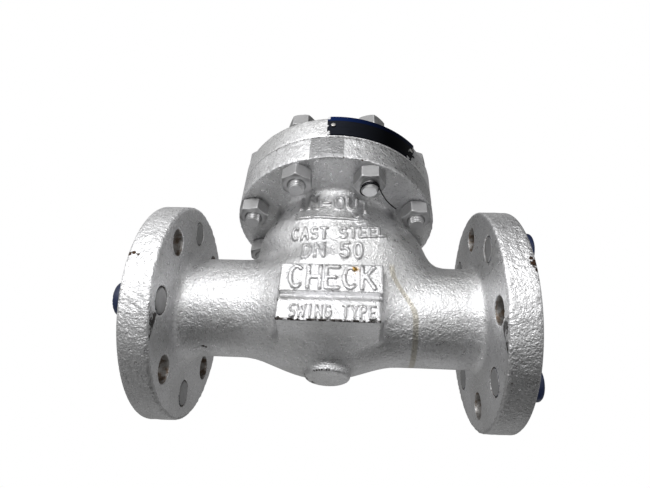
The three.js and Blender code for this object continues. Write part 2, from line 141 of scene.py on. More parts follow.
def fold(u, v, count=8, start=22.5):
    """Turns the point (u, v) about the origin onto the nearest of count spokes; the first is at start."""
    wedge = 2 * math.pi / count
    r = np.sqrt(u * u + v * v)
    a = np.mod(np.arctan2(v, u) - math.radians(start) + wedge / 2, wedge) - wedge / 2
    return r * np.cos(a), r * np.sin(a)


LATTICE = 48
lattice = np.random.default_rng(7).uniform(-1, 1, (LATTICE, LATTICE, LATTICE)).astype(np.float32)


def lumps(x, y, z, size):
    """Smooth random values from -1 to 1, with lumps about size across."""
    corners, weights = [], []
    for value in (x, y, z):
        scaled = value / size + 200
        whole = np.floor(scaled)
        part = scaled - whole
        corners.append(whole.astype(np.int32))
        weights.append(part * part * (3 - 2 * part))
    total = np.zeros_like(x)
    for corner in itertools.product((0, 1), repeat=3):
        i, j, k = [(low + side) % LATTICE for low, side in zip(corners, corner)]
        near = [w if side else 1 - w for w, side in zip(weights, corner)]
        total += lattice[i, j, k] * near[0] * near[1] * near[2]
    return total


# ---------------------------------------------------------------- raised lettering

LETTER_STEP = 0.25
LETTER_AREA = ((-42, 48), (-42, 92))  # x and z that the lettering covers


def bend(cx, cy, rx, ry, start, end, steps=8):
    """Points along part of an ellipse, in a letter's own square."""
    angles = np.radians(np.linspace(start, end, steps))
    return [(cx + rx * math.cos(a), cy + ry * math.sin(a)) for a in angles]


# Each letter is a few strokes in a square from (0, 0) to (1, 1); a W is a little wider.
LETTERS = {
    "A": [[(0, 0), (0.5, 1), (1, 0)], [(0.2, 0.35), (0.8, 0.35)]],
    "C": [bend(0.5, 0.5, 0.5, 0.5, 50, 310, 12)],
    "D": [[(0.35, 1), (0, 1), (0, 0), (0.35, 0)] + bend(0.35, 0.5, 0.6, 0.5, -90, 90)],
    "E": [[(1, 1), (0, 1), (0, 0), (1, 0)], [(0, 0.5), (0.8, 0.5)]],
    "G": [bend(0.5, 0.5, 0.5, 0.5, 50, 340, 12) + [(0.97, 0.45), (0.6, 0.45)]],
    "H": [[(0, 0), (0, 1)], [(1, 0), (1, 1)], [(0, 0.5), (1, 0.5)]],
    "I": [[(0.5, 0), (0.5, 1)]],
    "K": [[(0, 0), (0, 1)], [(0.95, 1), (0, 0.42)], [(0.3, 0.6), (1, 0)]],
    "L": [[(0, 1), (0, 0), (0.9, 0)]],
    "N": [[(0, 0), (0, 1), (1, 0), (1, 1)]],
    "O": [bend(0.5, 0.5, 0.5, 0.5, 0, 360, 16)],
    "P": [[(0, 0), (0, 1), (0.5, 1)] + bend(0.5, 0.75, 0.4, 0.25, 90, -90) + [(0, 0.5)]],
    "S": [bend(0.5, 0.75, 0.45, 0.25, 40, 270) + bend(0.5, 0.25, 0.45, 0.25, 90, -140)],
    "T": [[(0, 1), (1, 1)], [(0.5, 0), (0.5, 1)]],
    "U": [[(0, 1), (0, 0.4)] + bend(0.5, 0.4, 0.5, 0.4, 180, 360) + [(1, 0.4), (1, 1)]],
    "W": [[(-0.2, 1), (0.12, 0), (0.5, 0.85), (0.88, 0), (1.2, 1)]],
    "Y": [[(0, 1), (0.5, 0.45), (1, 1)], [(0.5, 0.45), (0.5, 0)]],
    "5": [[(0.9, 1), (0.1, 1), (0.05, 0.55), (0.4, 0.62)] + bend(0.45, 0.31, 0.5, 0.31, 90, -150)],
    "0": [bend(0.5, 0.5, 0.42, 0.5, 0, 360, 16)],
    "-": [[(0.1, 0.45), (0.9, 0.45)]],
    " ": [],
}

# Text, left and right end, foot of the letters, their height, half the stroke, and how much the row's
# ends rise above its middle.
ROWS = [
    ("IN-OUT", -31, 31, 65.5, 12.0, 1.1, 3.5),
    ("CAST STEEL", -31, 42, 35.8, 9.4, 0.95, 3.5),
    ("DN 50", -22, 25, 18.8, 12.5, 1.05, 1.0),
    ("CHECK", -28, 33.5, -11.6, 16.6, 1.35, 0.0),
    ("SWING TYPE", -25, 33, -34.2, 8.6, 0.62, 0.0),
]
LETTER_HEIGHT = 1.6
ARROW = {"left": -27, "right": 26, "z": 55.5, "half": 1.2, "head": 6.0, "rise": 1.2}


def row_strokes():
    """Every stroke of the lettering as (points, half width), in x and z."""
    middle = 2.0
    strokes = []
    for text, left, right, foot, height, half, rise in ROWS:
        pitch = (right - left) / len(text)
        width = pitch * 0.68
        for i, letter in enumerate(text):
            start = left + pitch * i + (pitch - width) / 2
            for stroke in LETTERS[letter]:
                points = []
                for u, v in stroke:
                    x = start + u * width
                    lift = rise * ((x - middle) / 34) ** 2
                    points.append((x, foot + lift + v * height))
                strokes.append((points, half))
    a = ARROW
    tip = (a["right"], a["z"])
    strokes.append(([(a["left"], a["z"] + a["rise"]), (0, a["z"] - a["rise"] / 2), tip], a["half"]))
    for side in (-1, 1):
        strokes.append(([tip, (a["right"] - a["head"], a["z"] + side * a["head"] * 0.5)], a["half"]))
    return strokes


def stroke_distance(x, z, points, half):
    nearest = np.full(x.shape, 99.0, np.float32)
    for (ax, az), (bx, bz) in zip(points, points[1:]):
        dx, dz = bx - ax, bz - az
        t = np.clip(((x - ax) * dx + (z - az) * dz) / max(dx * dx + dz * dz, 1e-9), 0, 1)
        nearest = np.minimum(nearest, np.hypot(x - ax - t * dx, z - az - t * dz))
    return nearest - half


def lettering_map():
    """Distance to the nearest stroke over the lettered area, as a picture in x and z."""
    (x0, x1), (z0, z1) = LETTER_AREA
    xs = np.arange(x0, x1, LETTER_STEP, dtype=np.float32)
    zs = np.arange(z0, z1, LETTER_STEP, dtype=np.float32)
    picture = np.full((len(xs), len(zs)), 9.0, np.float32)
    margin = 4
    for points, half in row_strokes():
        px, pz = zip(*points)
        i0, i1 = np.searchsorted(xs, (min(px) - margin, max(px) + margin))
        j0, j1 = np.searchsorted(zs, (min(pz) - margin, max(pz) + margin))
        x, z = np.meshgrid(xs[i0:i1], zs[j0:j1], indexing="ij")
        patch = stroke_distance(x, z, points, half)
        picture[i0:i1, j0:j1] = np.minimum(picture[i0:i1, j0:j1], patch)
    return picture


letter_picture = lettering_map()


def letter_distance(x, z):
    (x0, _), (z0, _) = LETTER_AREA
    rows, columns = letter_picture.shape
    u = np.clip((x - x0) / LETTER_STEP, 0, rows - 1.01)
    v = np.clip((z - z0) / LETTER_STEP, 0, columns - 1.01)
    i, j = u.astype(np.int32), v.astype(np.int32)
    fu, fv = u - i, v - j
    low = letter_picture[i, j] * (1 - fu) + letter_picture[i + 1, j] * fu
    high = letter_picture[i, j + 1] * (1 - fu) + letter_picture[i + 1, j + 1] * fu
    return low * (1 - fv) + high * fv


# ---------------------------------------------------------------- the valve body


def body_outside(x, y, z):
    """The casting's skin: run, neck, rounded masses, flanges, drain boss and name pads."""
    lift = INLET_RISE["high"] * (1 - ramp(*INLET_RISE["end"], x)) * ramp(*INLET_RISE["start"], x)
    run = rod_field(y, z - lift, x, PIPE["r"], PIPE["from"], PIPE["to"])
    neck = rod_field(x, y, z, NECK["r"], NECK["low"], NECK["high"])
    d = smooth_min(neck, ball_field(x, y, z, *OUTLET_SWELL), FILLET["swell"])
    d = smooth_min(d, ball_field(x, y, z, *INLET_SWELL), FILLET["swell"])
    d = smooth_min(d, ball_field(x, y, z, *BOWL), FILLET["bowl"])
    d = smooth_min(d, run, FILLET["pipe"])
    boss = rod_field(x, y, z, DRAIN_BOSS["r"], DRAIN_BOSS["z"], DRAIN_BOSS["top"], DRAIN_BOSS["round"])
    d = smooth_min(d, boss, FILLET["boss"])
    pad_fillet = FILLET["pad"] + FILLET["pad_foot"] * (1 - ramp(*FILLET["foot_fade"], z))
    d = smooth_min(d, pads(x, y, z), pad_fillet)
    flange = rod_field(y, z, np.abs(x), FLANGE["r"], FLANGE["back"], FLANGE["front"], FLANGE["round"])
    d = smooth_min(d, flange, FLANGE["fillet"])
    top = rod_field(x, y, z, TOP_FLANGE["r"], TOP_FLANGE["under"], 104, TOP_FLANGE["round"])
    top = np.minimum(top, rod_field(x, y, z, TOP_FLANGE["r"], 98, TOP_FACE, 0.3))
    return smooth_min(d, top, TOP_FLANGE["fillet"])


def pads(x, y, z):
    """The name pad's upper and lower blocks over a shelf that is set back."""
    upper = block_field(
        x, y, z,
        (PAD["left"], PAD["face"], PAD["step"]),
        (PAD["right"], PAD_ROOT, PAD["high"]), 0.8)
    lower = block_field(
        x, y, z,
        (LOW_PAD["left"], LOW_PAD["face"], LOW_PAD["low"]),
        (LOW_PAD["right"], PAD_ROOT, LOW_PAD["high"]), 0.8)
    core = block_field(
        x, y, z,
        (PAD["left"], PAD_CORE["face"], PAD_CORE["low"]),
        (PAD["right"], PAD_ROOT, PAD_CORE["high"]), 1.0)
    return np.minimum(smooth_min(lower, core, 5), upper)


def body_hollows(x, y, z):
    """Everything hollow in the body."""
    round_x = np.sqrt(y * y + z * z)
    inlet = np.maximum(round_x - BORE_R, x)
    pocket = np.maximum(round_x - SEAT_POCKET["r"], np.maximum(SEAT_POCKET["from"] - x, x))
    start, end = CHAMBER["taper"]
    wide = BORE_R + (CHAMBER["r"] - BORE_R) * (1 - ramp(start, end, x))
    chamber = np.maximum(round_x - wide, CHAMBER["from"] - x)
    shaft = rod_field(x, y, z, NECK["bore_r"], 0, 200)
    recess = rod_field(x, y, z, RECESS["r"], RECESS["z"], 200)
    neck = np.minimum(shaft, recess)
    for centre, half in (INLET_SWELL, OUTLET_SWELL):
        inner = tuple(h - SWELL_WALL for h in half)
        neck = smooth_min(neck, ball_field(x, y, z, centre, inner), 6)
    bridge = np.maximum(x - CHAMBER["from"], z - LEDGE_Z)
    neck = smooth_max(neck, -bridge, 1.5)
    return np.minimum(np.minimum(smooth_min(inlet, chamber, 0.5), pocket), neck)


def body_field(x, y, z):
    d = body_outside(x, y, z)
    cast = 1 - ramp(129, 131, np.abs(x)) - ramp(107, 109, z)
    rim = ramp(78, 82, np.sqrt(y * y + z * z)) * ramp(108, 112, np.abs(x))
    rim += ramp(82, 85, np.sqrt(x * x + y * y)) * ramp(84, 88, z)
    rough = 0.08 * lumps(x, y, z, 5.5) + (0.05 + 0.22 * np.clip(rim, 0, 1)) * lumps(x, y, z, 2.1)
    front = y < 0
    raised = smooth_max(d - LETTER_HEIGHT, letter_distance(x, z), 0.6)
    d = np.where(front, smooth_min(d, raised, 0.5), d) + rough * np.clip(cast, 0, 1)
    raised_face = rod_field(y, z, np.abs(x), RAISED_R, 120, FACE_X, 0.4)
    seam = rod_field(x, y, z, TOP_FLANGE["r"], TOP_FACE - 4, TOP_FACE + SEAM["high"])
    seam = np.maximum(seam, SEAM["r"] - np.sqrt(x * x + y * y))
    d = np.minimum(np.minimum(d, raised_face), seam)
    d = smooth_max(d, -body_hollows(x, y, z), 1.2)
    u, v = fold(y, z)
    bolt_holes = rod_field(u - BOLT_CIRCLE_R, v, np.abs(x), BOLT_HOLE_R, 104, 140)
    u, v = fold(x, y)
    stud_holes = rod_field(u - STUD_CIRCLE_R, v, z, STUD_HOLE_R, 80, 120)
    return smooth_max(d, -np.minimum(bolt_holes, stud_holes), 1.4)


# ---------------------------------------------------------------- meshes

BLOCK = 8


def surface_arrays(field, low, high, step, adaptivity):
    """Points, triangles and quads of the field's zero surface inside the box low..high."""
    start = np.array(low, float) - 2 * step
    counts = [math.ceil((b - a + 2 * step) / (step * BLOCK)) for a, b in zip(start, high)]
    depth = 3 * step
    grid = np.full([n * BLOCK for n in counts], depth, np.float32)
    blocks = np.stack(np.meshgrid(*[np.arange(n) for n in counts], indexing="ij"), -1).reshape(-1, 3)
    middles = (start + (blocks + 0.5) * BLOCK * step).astype(np.float32)
    middle_values = field(*middles.T)
    reach = (0.5 * math.sqrt(3) * BLOCK + 1) * step * 1.3 + 1
    inside = blocks[middle_values < -reach]
    for i, j, k in inside * BLOCK:
        grid[i:i + BLOCK, j:j + BLOCK, k:k + BLOCK] = -depth
    near = blocks[np.abs(middle_values) <= reach]
    local = np.stack(np.meshgrid(*[np.arange(BLOCK)] * 3, indexing="ij"), -1).reshape(-1, 3)
    batch = 1024
    for first in range(0, len(near), batch):
        some = near[first:first + batch]
        cells = (some[:, None, :] * BLOCK + local[None]).reshape(-1, 3)
        points = (start + cells * step).astype(np.float32)
        values = np.clip(field(*points.T), -depth, depth)
        grid[cells[:, 0], cells[:, 1], cells[:, 2]] = values
    volume = openvdb.FloatGrid(background=depth)
    volume.copyFromArray(grid, tolerance=1e-4)
    points, triangles, quads = volume.convertToPolygons(isovalue=0.0, adaptivity=adaptivity)
    return points * step + start, triangles, quads


def mesh_object(name, points, faces, smooth_angle=None):
    """A new object from points in millimetres."""
    mesh = bpy.data.meshes.new(name)
    mesh.from_pydata(np.asarray(points) * MM, [], faces)
    mesh.update()
    mesh.shade_smooth()
    if smooth_angle is not None:
        mesh.set_sharp_from_angle(angle=math.radians(smooth_angle))
    thing = bpy.data.objects.new(name, mesh)
    bpy.context.scene.collection.objects.link(thing)
    return thing


def cast_object(name, field, low, high, step, adaptivity=0.0):
    points, triangles, quads = surface_arrays(field, low, high, step, adaptivity)
    faces = [tuple(face[::-1]) for face in quads.tolist() + triangles.tolist()]
    return mesh_object(name, points, faces)


def loft_object(name, rings, around=True, smooth_angle=35):
    """Rings of points joined one to the next; around closes the last ring onto the first."""
    rings = np.asarray(rings, float)
    count, sides, _ = rings.shape
    faces = []
    last = count if around else count - 1
    for i in range(last):
        a, b = i * sides, ((i + 1) % count) * sides
        for j in range(sides):
            k = (j + 1) % sides
            faces.append((a + j, a + k, b + k, b + j))
    if not around:
        faces.append(tuple(range(sides))[::-1])
        faces.append(tuple((count - 1) * sides + j for j in range(sides)))
    return mesh_object(name, rings.reshape(-1, 3), faces, smooth_angle)


def place(piece, body, slot, *nodes):
    """Puts a piece on its body in place of CAD nodes, which are hidden."""
    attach(piece, body)
    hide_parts(*nodes)
    return piece


# ---------------------------------------------------------------- materials


# Places of the colour sockets on a Mix node.
MIX_FACTOR, MIX_A, MIX_B, MIX_RESULT = 0, 6, 7, 2


class Finish:
    """A node material that is built up step by step around one Principled shader."""

    def __init__(self, name, **shader):
        self.material = bpy.data.materials.new(name)
        self.material.use_nodes = True
        self.nodes = self.material.node_tree.nodes
        self.links = self.material.node_tree.links
        self.shader = self.nodes["Principled BSDF"]
        for key, value in shader.items():
            self.shader.inputs[key.replace("_", " ")].default_value = value
        self.place = self.nodes.new("ShaderNodeTexCoord").outputs["Object"]
        self.height = None

    def node(self, kind, inputs=None, **settings):
        new = self.nodes.new(kind)
        for key, value in settings.items():
            setattr(new, key, value)
        for key, value in (inputs or {}).items():
            if isinstance(value, bpy.types.NodeSocket):
                self.links.new(value, new.inputs[key])
            else:
                new.inputs[key].default_value = value
        return new

    def noise(self, size, detail=2.0, roughness=0.5, where=None):
        """Noise whose lumps are about size metres across."""
        inputs = {
            "Vector": where or self.place, "Scale": 1 / size, "Detail": detail, "Roughness": roughness}
        return self.node("ShaderNodeTexNoise", inputs).outputs["Fac"]

    def math(self, operation, a, b=0.0):
        return self.node("ShaderNodeMath", {0: a, 1: b}, operation=operation).outputs[0]

    def window(self, value, low, high, out_low=0.0, out_high=1.0):
        """Smoothly takes value from low..high to out_low..out_high."""
        inputs = {"Value": value, "From Min": low, "From Max": high, "To Min": out_low, "To Max": out_high}
        return self.node("ShaderNodeMapRange", inputs, interpolation_type="SMOOTHSTEP").outputs["Result"]

    def mix(self, factor, a, b):
        """Colour a where factor is 0 and b where it is 1."""
        new = self.node("ShaderNodeMix", None, data_type="RGBA")
        for slot, value in ((MIX_FACTOR, factor), (MIX_A, a), (MIX_B, b)):
            if isinstance(value, bpy.types.NodeSocket):
                self.links.new(value, new.inputs[slot])
            else:
                new.inputs[slot].default_value = value
        return new.outputs[MIX_RESULT]

    def near(self, point, radius, fade=0.5, wobble=0.35):
        """1 within radius of a point given in millimetres, with an uneven edge."""
        centre = tuple(c * MM for c in point)
        reach = self.node("ShaderNodeVectorMath", {0: self.place, 1: centre}, operation="DISTANCE")
        away = reach.outputs["Value"]
        uneven = self.math("SUBTRACT", self.noise(radius * MM * 0.8, 3), 0.5)
        uneven = self.math("MULTIPLY", uneven, wobble * 4)
        scaled = self.math("ADD", self.math("DIVIDE", away, radius * MM), uneven)
        return self.window(scaled, 1 - fade, 1 + fade, 1.0, 0.0)

    def axis(self, index):
        return self.node("ShaderNodeSeparateXYZ", {0: self.place}).outputs[index]

    def bump(self, height, distance, strength=1.0):
        inputs = {"Height": height, "Distance": distance, "Strength": strength}
        new = self.node("ShaderNodeBump", inputs)
        if self.height is not None:
            self.links.new(self.height, new.inputs["Normal"])
        self.height = new.outputs["Normal"]

    def finish(self, color=None, roughness=None, metallic=None):
        for key, value in (("Base Color", color), ("Roughness", roughness), ("Metallic", metallic)):
            if value is not None:
                self.links.new(value, self.shader.inputs[key])
        if self.height is not None:
            self.links.new(self.height, self.shader.inputs["Normal"])
        return self.material


SILVER = (0.80, 0.80, 0.81, 1)
SILVER_BRIGHT = (0.95, 0.95, 0.96, 1)
BRIGHTEST = 0.97
SILVER_DULL = (0.66, 0.66, 0.66, 1)
SILVER_DARK = (0.36, 0.36, 0.36, 1)
# Dark for dust and painted shade in the body's hollows, and for the pits in the rims' paint.
GRIME_AND_SHADE = (0.16, 0.15, 0.13, 1)
RUST = (0.10, 0.045, 0.02, 1)
OCHRE = (0.42, 0.24, 0.05, 1)
BARE = (0.035, 0.03, 0.028, 1)
RUN_STAIN = (0.46, 0.43, 0.36, 1)

# Places of wear: point in millimetres and radius.
OCHRE_SPOTS = [((18.6, -61.5, 3.6), 2.3), ((18.2, -61, 0.4), 1.0)]
CHIPS = [
    ((-93.2, -8.5, -33.8), 1.3), ((-91.1, -7.4, -34), 0.9), ((-15.6, 0, -51.6), 1.3),
    ((-16.5, -3, -50.2), 0.9), ((-15.4, 2.5, -51.9), 1.1), ((-11.2, 6, -52), 0.9),
    ((-10.6, 8, -52), 0.9), ((-33, -60.5, -22), 0.9), ((-31, -60.5, -35), 1.1),
]
BOSS_EDGE = {"r": 16.2, "z": -51.5, "chip": 0.75, "turns": (-124, -116, -109, -103, -90, -84)}


def boss_edge_chips():
    """Chips along the front of the drain boss's lower edge."""
    chips = []
    for turn in BOSS_EDGE["turns"]:
        a = math.radians(turn)
        point = (BOSS_EDGE["r"] * math.cos(a), BOSS_EDGE["r"] * math.sin(a), BOSS_EDGE["z"])
        chips.append((point, BOSS_EDGE["chip"]))
    return chips


RIM_CHIPS = [
    ((130.5, -82.2, -3), 2.6), ((131.5, -81.5, -7.5), 1.5), ((129, -82.3, 1), 1.3),
    ((131.5, -80, -14), 1.0), ((-131, -82, -3), 1.6), ((-128, -82.3, -2), 1.2),
    ((-124.5, -82.4, -3.5), 0.9), ((-131.5, -79, 20), 1.2),
    ((-47, -72, 109.8), 1.0), ((22, -83, 87.3), 0.9), ((8, -85.6, 87.2), 0.8),
]
# A hairline crack in the paint on the cover's rim, from its top to its foot.
CRACK = {"from": (-52.5, -68.2, 131), "to": (-39, -76.6, 110.5), "half": 0.55}
CRACK_STEPS = (0, 0.14, 0.3, 0.5, 0.62, 0.8, 1)
COVER_SPECK = ((-17, -84.3, 123.5), 0.7)


def cover_chips():
    """The crack as a row of small chips, and one speck."""
    chips = []
    for t in CRACK_STEPS:
        point = tuple(a + (b - a) * t for a, b in zip(CRACK["from"], CRACK["to"]))
        chips.append((point, CRACK["half"]))
    return chips + [COVER_SPECK]


STAIN = {"x": 61.5, "shift": -16.5, "low": -20, "high": 16, "half": 1.3, "fade": 1.4}
# A stretch of the top flange's rim that was taped while painting.
MASKED = {"left": -18.5, "right": 8, "edge": 0.4, "amount": 0.75, "front": (-70, -60)}
TOP_RIM_Z = (86, 88.5)
RIM_PAINTED_SHADE = {"from": 5, "to": 60, "amount": 0.6}  # painted shade: the top flange's rim is painted darker toward the outlet
RIM_LOW_PAINTED_SHADE = {"from": -75, "to": -20, "amount": 0.7}  # and painted shade on the end flanges' rims, darker toward their lowest point
MASKED_PAINT = (0.20, 0.20, 0.205, 1)


def silver_paint(name, grain=0.0013, depth=0.0005, wear=(), chips=(), stained=False,
                 rough=(0.26, 0.42), painted_light_tone=1.0):
    """Aluminium paint over a sand casting: fine peel, dust and painted shade in the hollows, worn paint and
    painted highlights on the high edges.
    """
    f = Finish(name, Metallic=0.95)
    pointed = f.node("ShaderNodeNewGeometry").outputs["Pointiness"]
    # A tone above 1 paints the same paint lighter, which is painted light; a tone below 1 paints it darker,
    # which is painted shade.
    bright, dull = [
        tuple(min(c * painted_light_tone, BRIGHTEST) for c in silver[:3]) + (1,) for silver in (SILVER, SILVER_DULL)]
    color = f.mix(f.window(f.noise(0.035, 3), 0.35, 0.7), bright, dull)
    color = f.mix(f.window(f.noise(grain * 1.5, 4, 0.6), 0.5, 0.75, 0.0, 0.55), color, SILVER_DARK)
    # Hollows are painted darker: dust, and painted shade.
    color = f.mix(f.window(pointed, 0.40, 0.47, 0.45, 0.0), color, GRIME_AND_SHADE)
    # High edges are painted lighter: worn paint, and painted highlight.
    color = f.mix(f.window(pointed, 0.515, 0.56, 0.0, min(0.8 * painted_light_tone, 0.9)), color, SILVER_BRIGHT)
    if stained:
        x, y, z = f.axis(0), f.axis(1), f.axis(2)
        foot_x, head_x = STAIN["x"] * MM, (STAIN["x"] + STAIN["shift"]) * MM
        path = f.window(z, STAIN["low"] * MM, STAIN["high"] * MM, foot_x, head_x)
        away = f.math("ABSOLUTE", f.math("SUBTRACT", x, path))
        run = f.window(away, STAIN["half"] * MM, (STAIN["half"] + STAIN["fade"]) * MM, 0.75, 0.0)
        run = f.math("MULTIPLY", run, f.window(y, 0.0, 0.03, 1.0, 0.0))
        run = f.math("MULTIPLY", run, f.window(z, STAIN["high"] * MM, STAIN["high"] * MM + 0.004, 1.0, 0.0))
        color = f.mix(run, color, RUN_STAIN)
        foot = f.window(z, (LOW_PAD["low"] + 1.0) * MM, (LOW_PAD["low"] + 2.2) * MM, 1.0, 0.0)
        foot = f.math("MULTIPLY", foot, f.window(y, -0.0600, -0.0592, 1.0, 0.0))
        foot = f.math("MULTIPLY", foot, f.window(f.noise(0.006, 4, 0.7), 0.42, 0.52))
        color = f.mix(foot, color, BARE)
    for point, radius in wear:
        color = f.mix(f.near(point, radius), color, OCHRE)
    for point, radius in chips:
        color = f.mix(f.near(point, radius, 0.25), color, BARE)
    roughness = f.window(f.noise(0.004, 3), 0.3, 0.7, *rough)
    f.bump(f.noise(grain * 3.5, 2, 0.5), depth * 1.3, 0.8)
    f.bump(f.noise(grain, 3, 0.6), depth * 1.2, 1.0)
    return f.finish(color, roughness)


def rim_paint(name):
    """The same paint on the flange rims, pitted and chipped down to rust, with painted shade darkening the
    top flange's rim toward the outlet and the end flanges' rims toward their lowest point.
    """
    f = Finish(name, Metallic=0.92)
    color = f.mix(f.window(f.noise(0.02, 3), 0.35, 0.7), SILVER_BRIGHT, SILVER)
    color = f.mix(f.window(f.noise(0.0025, 4, 0.6), 0.5, 0.75, 0.0, 0.6), color, SILVER_DARK)
    # Painted shade toward the outlet on the top flange's rim.
    right = f.window(f.axis(0), RIM_PAINTED_SHADE["from"] * MM, RIM_PAINTED_SHADE["to"] * MM, 0.0, RIM_PAINTED_SHADE["amount"])
    top = f.window(f.axis(2), *[z * MM for z in TOP_RIM_Z])
    color = f.mix(f.math("MULTIPLY", right, top), color, SILVER_DARK)
    # Painted shade toward the bottom of the end flanges' rims.
    low_shade = f.window(f.axis(2), RIM_LOW_PAINTED_SHADE["from"] * MM, RIM_LOW_PAINTED_SHADE["to"] * MM, RIM_LOW_PAINTED_SHADE["amount"], 0.0)
    color = f.mix(low_shade, color, SILVER_DARK)
    pits = f.window(f.noise(0.0022, 4, 0.65), 0.62, 0.72)
    color = f.mix(pits, color, GRIME_AND_SHADE)
    across = f.math("SUBTRACT", f.axis(0), (MASKED["left"] + MASKED["right"]) / 2 * MM)
    half = (MASKED["right"] - MASKED["left"]) / 2 * MM
    edge = MASKED["edge"] * MM
    masked = f.window(f.math("ABSOLUTE", across), half - edge, half + edge, MASKED["amount"], 0.0)
    front = f.window(f.axis(1), *[y * MM for y in MASKED["front"]], 1.0, 0.0)
    masked = f.math("MULTIPLY", masked, f.math("MULTIPLY", top, front))
    color = f.mix(masked, color, MASKED_PAINT)
    chips = f.window(f.noise(0.012, 4, 0.7), 0.76, 0.79)
    for point, radius in RIM_CHIPS:
        chips = f.math("MAXIMUM", chips, f.near(point, radius, 0.25, 0.5))
    color = f.mix(chips, color, f.mix(f.noise(0.0015, 3), RUST, BARE))
    rough = f.window(f.noise(0.003, 3), 0.3, 0.7, 0.26, 0.42)
    f.bump(f.noise(0.0055, 3, 0.6), 0.0012, 0.8)
    f.bump(f.noise(0.0016, 3, 0.6), 0.0008, 1.0)
    f.bump(f.math("SUBTRACT", 1.0, chips), 0.0004, 1.0)
    return f.finish(color, rough)


def bare_steel(name, color=(0.46, 0.45, 0.44, 1), dull=(0.26, 0.25, 0.24, 1), rough=(0.22, 0.4)):
    """Machined steel with faint tool marks."""
    f = Finish(name, Metallic=1.0)
    marks = f.noise(0.0007, 4, 0.6)
    mixed = f.mix(f.window(f.noise(0.008, 3), 0.35, 0.7), color, dull)
    roughness = f.window(marks, 0.3, 0.7, *rough)
    f.bump(marks, 0.00006, 0.6)
    return f.finish(mixed, roughness)


def hole_metal(name):
    """Bolt hole walls: drilled steel that has begun to rust."""
    f = Finish(name, Metallic=0.8)
    color = f.mix(f.window(f.noise(0.005, 4), 0.42, 0.62), (0.40, 0.39, 0.38, 1), (0.17, 0.13, 0.10, 1))
    f.bump(f.noise(0.0012, 3), 0.0002, 0.8)
    return f.finish(color, f.window(f.noise(0.003, 2), 0.3, 0.7, 0.35, 0.6))


def serrated_face(name):
    """A raised face with its fine turned grooves about the flow axis."""
    f = Finish(name, Metallic=1.0)
    flat = f.node("ShaderNodeMapping", {"Vector": f.place, "Scale": (0, 1, 1)}).outputs[0]
    radius = f.node("ShaderNodeVectorMath", {0: flat}, operation="LENGTH").outputs["Value"]
    grooves = f.math("SINE", f.math("MULTIPLY", radius, 2 * math.pi / 0.0008))
    color = f.mix(f.noise(0.01, 3), (0.5, 0.49, 0.48, 1), (0.33, 0.32, 0.3, 1))
    f.bump(grooves, 0.00012, 0.8)
    return f.finish(color, f.window(f.noise(0.004, 2), 0.3, 0.7, 0.25, 0.4))


def navy_plastic(name):
    """Moulded polyethylene, slightly waxy, with a faint flow grain and scuffs."""
    f = Finish(name, Metallic=0.0)
    color = f.mix(f.window(f.noise(0.03, 3), 0.3, 0.7), (0.004, 0.010, 0.042, 1), (0.007, 0.017, 0.065, 1))
    scuffs = f.window(f.noise(0.0025, 4, 0.7), 0.66, 0.74, 0.0, 0.5)
    color = f.mix(scuffs, color, (0.10, 0.12, 0.18, 1))
    f.bump(f.noise(0.0009, 3), 0.00005, 0.7)
    return f.finish(color, f.window(f.noise(0.006, 2), 0.3, 0.7, 0.32, 0.48))


def graphite(name):
    f = Finish(name, Metallic=0.1)
    color = f.mix(f.noise(0.002, 4), (0.03, 0.03, 0.032, 1), (0.09, 0.09, 0.095, 1))
    f.bump(f.noise(0.0006, 3), 0.0001, 0.7)
    return f.finish(color, f.window(f.noise(0.002, 2), 0.3, 0.7, 0.5, 0.75))


# Silver overspray on the nameplate's ends: point and radius.
OVERSPRAY = [
    ((-6.2, -87, 113), 2.4), ((-6.2, -87, 122), 1.2), ((-6, -87, 132), 2.0), ((66, -57.5, 113), 4.0),
    ((66, -57, 121), 2.6), ((66, -57, 128), 2.2), ((60, -64, 111.5), 2.0),
]


def plate_finish(name, band_z):
    """The nameplate: a navy band along its top over dark, mirror-like metal with faint scratches."""
    f = Finish(name, Metallic=1.0)
    z = f.axis(2)
    band = f.window(z, band_z - 0.0001, band_z + 0.0001)
    hair = f.node("ShaderNodeMapping", {"Vector": f.place, "Scale": (0.05, 0.05, 1)}).outputs[0]
    scratches = f.noise(0.00035, 3, 0.6, hair)
    metal = f.mix(f.window(scratches, 0.35, 0.7), (0.016, 0.019, 0.028, 1), (0.007, 0.009, 0.014, 1))
    color = f.mix(band, metal, (0.001, 0.014, 0.085, 1))
    overspray = 0.0
    for point, radius in OVERSPRAY:
        overspray = f.math("MAXIMUM", overspray, f.near(point, radius, 0.15, 0.6))
    color = f.mix(overspray, color, SILVER)
    f.bump(scratches, 0.00002, 0.5)
    rough = f.math("MAXIMUM", f.window(scratches, 0.3, 0.7, 0.10, 0.2), f.math("MULTIPLY", overspray, 0.4))
    return f.finish(color, rough)


paint = silver_paint(
    "body_casting_paint", wear=OCHRE_SPOTS, chips=CHIPS + boss_edge_chips(), stained=True)
# The cover's paint is painted lighter than the body's: painted light.
cover_paint = silver_paint("cover_casting_paint", grain=0.0015, chips=cover_chips(), painted_light_tone=1.2)
rim = rim_paint("flange_rim_paint")
